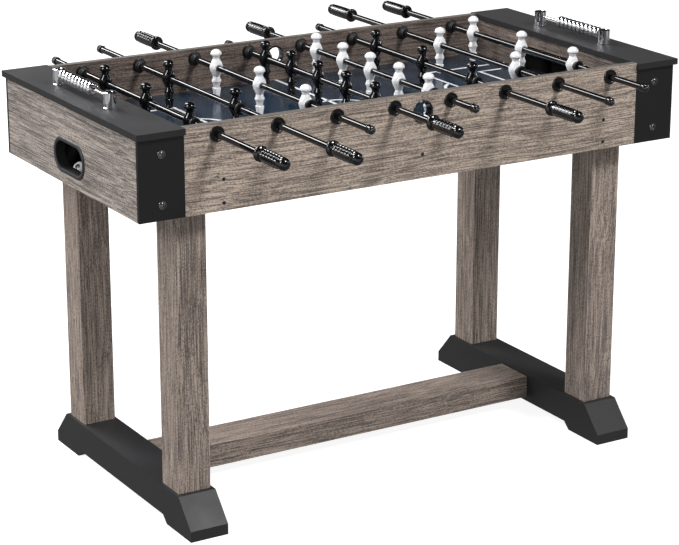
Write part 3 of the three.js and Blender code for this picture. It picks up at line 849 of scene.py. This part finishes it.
def man_mesh(team):
    """One man about the rod's axis: a lofted body with a flat round collar where the rod goes through."""
    bm = bmesh.new()
    rings = [[bm.verts.new(point) for point in section(*row)] for row in MAN_SECTIONS + domed_cap()]
    rings.append([bm.verts.new((0, 0, HEAD_TOP / 1000))])
    skin(bm, rings, False)
    bm.faces.new(rings[0])
    finish = man_white if team == "white" else man_black
    body = to_piece(f"{team}_man", bm, finish)
    collar = bmesh.new()
    radius, half = COLLAR_RADIUS, COLLAR_HALF_LENGTH
    profile = [
        (0, -half), (radius - 0.0006, -half), (radius, -half + 0.0006),
        (radius, half - 0.0006), (radius - 0.0006, half), (0, half),
    ]
    add_lathe(collar, profile, "Y", segments=48)
    combine(body, to_piece("collar", collar), "UNION")
    bore = [(0, -0.02), (ROD_RADIUS + 0.0001, -0.02), (ROD_RADIUS + 0.0001, 0.02), (0, 0.02)]
    cut(body, add_lathe, bore, "Y", (0, 0, 0), 48)
    body.data.materials.clear()
    body.data.materials.append(finish)
    return mesh_of(smooth(body, 32))


def mesh_of(piece):
    """The mesh of a piece, kept for sharing while the piece itself is removed."""
    mesh = piece.data
    bpy.data.objects.remove(piece)
    return mesh


def shared(name, mesh, place, turned=False):
    """An object that shows a shared mesh at a place, turned half a turn about Z if asked."""
    piece = bpy.data.objects.new(name, mesh)
    bpy.context.scene.collection.objects.link(piece)
    piece.matrix_world = Matrix.Translation(place) @ Matrix.Rotation(math.pi if turned else 0, 4, "Z")
    return piece


# ---- Rods and their fittings ----


def make_rod(name, centre_y):
    """The plated tube, with a small chamfer at each end."""
    node = f"{name}_rod_and_men"
    low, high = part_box(node)
    radius, chamfer = ROD_RADIUS, 0.0006
    profile = [
        (0, low.y), (radius - chamfer, low.y), (radius, low.y + chamfer),
        (radius, high.y - chamfer), (radius - chamfer, high.y), (0, high.y),
    ]
    bm = bmesh.new()
    add_lathe(bm, profile, "Y", (rod_x[name], 0, rod_z), 48)
    belongs(smooth(to_piece(f"{name}_tube", bm, rod_black)), f"{name}_rod", "black_man", node)
    count = MEN_IN_ROW[name.split("_")[1]]
    team = name.split("_")[0]
    for index in range(count):
        y = centre_y + (index - (count - 1) / 2) * MAN_PITCH[count]
        piece = shared(f"{name}_man_{index + 1}", man_meshes[team], (rod_x[name], y, rod_z))
        belongs(piece, f"{name}_rod", f"{team}_man", node)


def grip_mesh(length, flange_radius, grip_radius):
    """A grip along +Y from its flange: rows of raised dashes, then a ring groove before the round end."""
    groove_start, groove_end = length - 0.016, length - 0.0115
    dash_start, dash_end = 0.016, groove_start - 0.003
    base = grip_radius - DASH_HEIGHT
    stations = [
        (0, GRIP_BORE_DEPTH), (SLEEVE_RADIUS, GRIP_BORE_DEPTH), (SLEEVE_RADIUS, 0.0),
        (flange_radius - 0.0022, 0.0), (flange_radius - 0.0006, 0.0009), (flange_radius, 0.0026),
        (flange_radius - 0.0003, 0.0048), (flange_radius - 0.0018, 0.0062),
        (base - 0.0012, 0.0076), (base - 0.0016, 0.0100),
    ]
    for step in range(GRIP_STATIONS + 1):
        share = step / GRIP_STATIONS
        taper = 0.0012 * max(0, 1 - step / 14)
        crown = 0.0004 * math.sin(math.pi * share)
        stations.append((base - taper + crown, GRIP_BODY_START + (groove_start - GRIP_BODY_START) * share))
    stations += [
        (base - 0.0012, groove_start + 0.0008), (base - 0.0014, (groove_start + groove_end) / 2),
        (base - 0.0012, groove_end - 0.0008), (base + 0.0004, groove_end),
    ]
    dome_start = groove_end + 0.002
    dome = length - dome_start
    turns = [math.radians(90 * step / 12) for step in range(1, 12)]
    stations += [((base + 0.0004) * math.cos(turn), dome_start + dome * math.sin(turn)) for turn in turns]
    stations.append((0, length))

    bm = bmesh.new()
    rings = []
    for radius, along in stations:
        if radius < 1e-6:
            rings.append([bm.verts.new((0, along, 0))])
            continue
        ring = []
        for step in range(GRIP_SEGMENTS):
            turn = 2 * math.pi * step / GRIP_SEGMENTS
            reach = radius
            if dash_start < along < dash_end and radius > SLEEVE_RADIUS + 0.001:
                reach += DASH_HEIGHT * dash_shape(turn, (along - dash_start) / (dash_end - dash_start))
            ring.append(bm.verts.new((reach * math.cos(turn), along, reach * math.sin(turn))))
        rings.append(ring)
    skin(bm, rings, False)
    return mesh_of(smooth(to_piece("grip", bm, grip_black), 45))


def plateau(value, edge):
    """1 in the middle of a unit span and 0 at its ends, with a smooth step as wide as edge."""
    rise = min(1, max(0, min(value, 1 - value) / edge))
    return rise * rise * (3 - 2 * rise)


def dash_shape(turn, share):
    """How far a raised dash stands up at a turn round the grip and a share along it."""
    row = turn * GRIP_ROWS / (2 * math.pi)
    across = row - math.floor(row)
    stagger = 0.5 if int(math.floor(row)) % 2 else 0.0
    place = share * GRIP_DASHES + stagger
    along = place - math.floor(place)
    wide = (across - 0.2) / 0.6
    long = (along - 0.09) / 0.82
    if not (0 < wide < 1 and 0 < long < 1):
        return 0.0
    return plateau(wide, 0.35) * plateau(long, 0.18)


def cap_mesh(length, radius):
    """An end cap along +Y from its open end: a plain sleeve, a shoulder and a small ball nose."""
    shoulder = length - 0.0085
    body = radius - 0.0004
    profile = [
        (0, 0.012), (SLEEVE_RADIUS, 0.012), (SLEEVE_RADIUS, 0),
        (radius - 0.0006, 0), (radius, 0.0006), (radius, 0.0022), (body, 0.0028), (body, shoulder),
    ]
    turns = [math.radians(75 * step / 8) for step in range(1, 9)]
    profile += [(body * math.cos(turn), shoulder + 0.0048 * math.sin(turn)) for turn in turns[:-1]]
    profile.append((NOSE_RADIUS - 0.0006, shoulder + 0.0048 * math.sin(turns[-1])))
    nose_height = NOSE_RADIUS * NOSE_STRETCH
    turns = [math.radians(-40 + 130 * step / 8) for step in range(8)]
    nose_centre = length - nose_height
    for turn in turns:
        profile.append((NOSE_RADIUS * math.cos(turn), nose_centre + nose_height * math.sin(turn)))
    profile.append((0, length))
    bm = bmesh.new()
    add_lathe(bm, profile, "Y", segments=48)
    return mesh_of(smooth(to_piece("cap", bm, cap_black), 50))


def bumper_mesh():
    """A stepped rubber cone along +Y, from its small end to its wide face."""
    wide, small, length = 0.012, 0.0088, BUMPER_LENGTH
    profile = [
        (SLEEVE_RADIUS, 0), (small - 0.0005, 0), (small, 0.0005),
        (small + 0.0004, 0.0032), (small + 0.0014, 0.0038), (small + 0.0017, 0.0064),
        (wide - 0.0006, 0.0071), (wide, 0.0078), (wide, length - 0.0008),
        (wide - 0.0008, length), (SLEEVE_RADIUS + 0.001, length), (SLEEVE_RADIUS, length - 0.0008),
    ]
    bm = bmesh.new()
    add_lathe(bm, profile, "Y", segments=48)
    return mesh_of(smooth(to_piece("bumper", bm, rubber), 40))


def bearing_mesh(inner_y, outer_y):
    """A rod bearing along +Y: a dished disc outside, a barrel through the board and a flange inside."""
    back, face = outer_y, outer_y + BEARING_OUTER_FLANGE
    near = inner_y - BEARING_INNER_FLANGE
    radius, barrel = BEARING_RADIUS, BEARING_BARREL_RADIUS
    profile = [
        (SLEEVE_RADIUS, near), (0.0102, near), (0.0106, near + 0.0006), (0.0142, near + 0.0010),
        (radius, inner_y - 0.0008), (radius, inner_y), (barrel, inner_y), (barrel, back),
        (radius, back), (radius, face - 0.0012), (radius - 0.0007, face - 0.0002), (radius - 0.0016, face),
        (0.0118, face - 0.0004), (0.0108, face - 0.0016), (0.0096, face - 0.0020), (0.0090, face - 0.0018),
        (0.0086, face - 0.0010), (SLEEVE_RADIUS, face - 0.0010),
    ]
    bm = bmesh.new()
    add_lathe(bm, profile, "Y", segments=ROUND)
    return mesh_of(smooth(to_piece("bearing", bm, bearing_black), 40))


def make_rod_fittings(name):
    handle_low, handle_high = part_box(f"{name}_handle")
    cap_low, cap_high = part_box(f"{name}_end_cap")
    bumper_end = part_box(f"{name}_bumper")[1].y
    at_back = handle_low.y > 0
    x, z = rod_x[name], rod_z
    place = (x, handle_low.y if at_back else handle_high.y, z)
    piece = shared(f"{name}_grip", grip_shared, place, not at_back)
    belongs(piece, f"{name}_rod", "grip_plastic", f"{name}_handle")
    place = (x, cap_high.y if at_back else cap_low.y, z)
    piece = shared(f"{name}_cap", cap_shared, place, at_back)
    belongs(piece, f"{name}_rod", "cap_plastic", f"{name}_end_cap")
    piece = shared(f"{name}_front_bumper", bumper_shared, (x, bumper_end, z), True)
    belongs(piece, f"{name}_slider", "bumper_rubber", f"{name}_bumper")
    wall_bumper_y = apron_inner - BEARING_INNER_FLANGE - 0.0002 - BUMPER_LENGTH
    piece = shared(f"{name}_back_bumper", bumper_shared, (x, wall_bumper_y, z))
    belongs(piece, "table", "bumper_rubber")
    for side_name, side in SIDE_ENDS:
        piece = shared(f"{name}_{side_name}_bearing", bearing_shared, (x, 0, z), side < 0)
        belongs(piece, "table", "black_plastic")


# ---- Ball ----


def make_ball():
    """A ball in the left pocket, with twelve dark patches and a plain side towards BALL_FACING."""
    bm = bmesh.new()
    bmesh.ops.create_icosphere(bm, subdivisions=5, radius=BALL_RADIUS)
    seeds = bmesh.new()
    bmesh.ops.create_icosphere(seeds, subdivisions=1, radius=1)
    centres = [vertex.co.normalized() for vertex in seeds.verts]
    seeds.faces.ensure_lookup_table()
    plain_side = seeds.faces[0].calc_center_median()
    turn = plain_side.rotation_difference(Vector(BALL_FACING)).to_matrix()
    seeds.free()
    for face in bm.faces:
        direction = face.calc_center_median().normalized()
        face.material_index = int(max(direction.dot(centre) for centre in centres) > PATCH_REACH)
        face.smooth = True
    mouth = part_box("left_end_apron")
    place = Vector((mouth[1].x + BALL_DEPTH, BALL_Y, BALL_FLOOR + BALL_RADIUS + 0.0003))
    bmesh.ops.transform(bm, matrix=Matrix.Translation(place) @ turn.to_4x4(), verts=bm.verts[:])
    belongs(to_piece("ball", bm, ball_white, ball_black), "table", "white_man")


# ---- The table ----

for side_name, side in SIDE_ENDS:
    make_apron(side_name, side)
    make_serve_cup(side_name, side)
    apron_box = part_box(f"{side_name}_apron")
    face_y = apron_box[1].y if side > 0 else apron_box[0].y
    for index, (x, z) in enumerate(SCREW_SPOTS):
        make_screw(f"{side_name}_screw_{index + 1}", (x, face_y, z), side)

make_playfield()

for end_name, end in TABLE_ENDS:
    make_end_apron(end_name, end)
    make_goal_wall(end_name, end)
    make_ball_return(end_name, end)
    make_cap(end_name)
    make_foot(end_name)
    make_scorer(end_name)
    for side_name, side in SIDE_ENDS:
        make_corner_board(end_name, side_name, side, end)
        make_leg(end_name, side_name)
        board_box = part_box(f"{end_name}_{side_name}_corner_board")
        face_y = board_box[1].y if side > 0 else board_box[0].y
        for index, z in enumerate(BOLT_HEIGHTS):
            make_bolt(f"{end_name}_{side_name}_bolt_{index + 1}", (end * BOLT_X, face_y, z), side)

make_stretcher()
make_ball()

apron_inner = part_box("back_apron")[0].y
apron_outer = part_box("back_apron")[1].y
first_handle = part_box(f"{rod_names[0]}_handle")
first_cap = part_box(f"{rod_names[0]}_end_cap")
man_meshes = {team: man_mesh(team) for team in ("white", "black")}
handle_size = first_handle[1] - first_handle[0]
cap_size = first_cap[1] - first_cap[0]
grip_shared = grip_mesh(handle_size.y, handle_size.x / 2, GRIP_RADIUS)
cap_shared = cap_mesh(cap_size.y, cap_size.x / 2)
bumper_shared = bumper_mesh()
bearing_shared = bearing_mesh(apron_inner, apron_outer)
pivots = {joint["name"]: joint["pos_m"] for joint in frame["joints"] if joint["type"] == "hinge"}
for name in rod_names:
    make_rod(name, pivots[f"{name}_spin"][1])
    make_rod_fittings(name)


# ---- Camera, floor and lights ----


def make_camera():
    data = bpy.data.cameras.new("camera")
    data.lens = CAMERA_LENS
    data.clip_end = 200
    camera = bpy.data.objects.new("camera", data)
    camera.location = CAMERA_PLACE
    camera.rotation_euler = (CAMERA_TILT, 0, CAMERA_TURN)
    bpy.context.scene.collection.objects.link(camera)
    bpy.context.scene.camera = camera


def make_floor():
    """A wide pale floor that glows, and keeps out of the gloss and the shading of the table."""
    material, tree, shader = new_material("floor", Roughness=0.9, Specular_IOR_Level=0.0)
    mottle = noise(tree, scaled_space(tree, 3), detail=2)
    tone = ramp(tree, mottle, [(0.3, (0.40, 0.40, 0.40)), (0.7, (0.42, 0.42, 0.42))])
    tree.links.new(tone, shader.inputs["Base Color"])
    shader.inputs["Emission Color"].default_value = (1, 1, 1, 1)
    shader.inputs["Emission Strength"].default_value = 0.9
    bm = bmesh.new()
    bmesh.ops.create_grid(bm, x_segments=2, y_segments=2, size=FLOOR_SIZE / 2)
    floor = to_piece("floor", bm, material)
    floor.visible_diffuse = False
    floor.visible_glossy = False
    floor.visible_shadow = False


def make_world():
    """A dim room with a soft glow below, and a band of light on each of the walls in WORLD_WALLS."""
    world = bpy.data.worlds.new("world")
    bpy.context.scene.world = world
    world.use_nodes = True
    tree = world.node_tree
    space = add(tree, "ShaderNodeTexCoord").outputs["Generated"]
    split = add(tree, "ShaderNodeSeparateXYZ")
    tree.links.new(space, split.inputs["Vector"])
    height = add(tree, "ShaderNodeMapRange")
    height.inputs["From Min"].default_value = -1.0
    tree.links.new(split.outputs["Z"], height.inputs["Value"])
    total = ramp(tree, height.outputs["Result"], grey_stops(WORLD_BASE))
    for facing, start, end, bands in WORLD_WALLS:
        dot = add(tree, "ShaderNodeVectorMath", operation="DOT_PRODUCT")
        dot.inputs[1].default_value = facing
        tree.links.new(space, dot.inputs[0])
        share = add(tree, "ShaderNodeMapRange", interpolation_type="SMOOTHSTEP")
        share.inputs["From Min"].default_value = start
        share.inputs["From Max"].default_value = end
        tree.links.new(dot.outputs["Value"], share.inputs["Value"])
        brightness = ramp(tree, height.outputs["Result"], grey_stops(bands))
        wall = multiply(tree, brightness, share.outputs["Result"])
        joined = add(tree, "ShaderNodeMix", data_type="RGBA", blend_type="ADD")
        joined.inputs["Factor"].default_value = 1.0
        tree.links.new(total, joined.inputs["A"])
        tree.links.new(wall, joined.inputs["B"])
        total = joined.outputs["Result"]
    tree.links.new(total, tree.nodes["Background"].inputs["Color"])


def grey_stops(levels):
    return [(position, (level,) * 3) for position, level in levels]


def make_softbox(name, direction, distance, width, length, power, target=(0, 0, 0.45)):
    """A soft light that faces a target, with its length as near to the Y axis as that lets it be."""
    place = Vector(target) + Vector(direction).normalized() * distance
    out = (place - Vector(target)).normalized()
    along = (Vector((0, 1, 0)) - out * out.y).normalized()
    data = bpy.data.lights.new(name, "AREA")
    data.shape = "RECTANGLE"
    data.size = width
    data.size_y = length
    data.energy = power
    light = bpy.data.objects.new(name, data)
    bpy.context.scene.collection.objects.link(light)
    facing = Matrix((along.cross(out), along, out)).transposed().to_4x4()
    light.matrix_world = Matrix.Translation(place) @ facing


make_camera()
make_floor()
make_world()
make_softbox("key_box", (1.9, -5.0, 5.55), 7.7, 1.6, 1.6, 385)
make_softbox("left_box", (-1.0, -0.12, 0.8), 4.5, 1.6, 1.6, 80)
make_softbox("left_lamp", (-0.873, -0.14, 0.471), 4.5, 0.6, 0.6, 30)
make_softbox("right_box", (1.0, -1.0, 0.6), 4.5, 1.6, 1.6, 12)
make_softbox("right_lamp", (0.98, -0.03, 0.2), 4.5, 0.5, 0.5, 14)
make_softbox("back_strip", (-0.969, 0.0, 1.83), 2.07, 0.75, 4.5, 155, (0, 2.94, 0.8))

bpy.context.scene.view_settings.view_transform = "Standard"
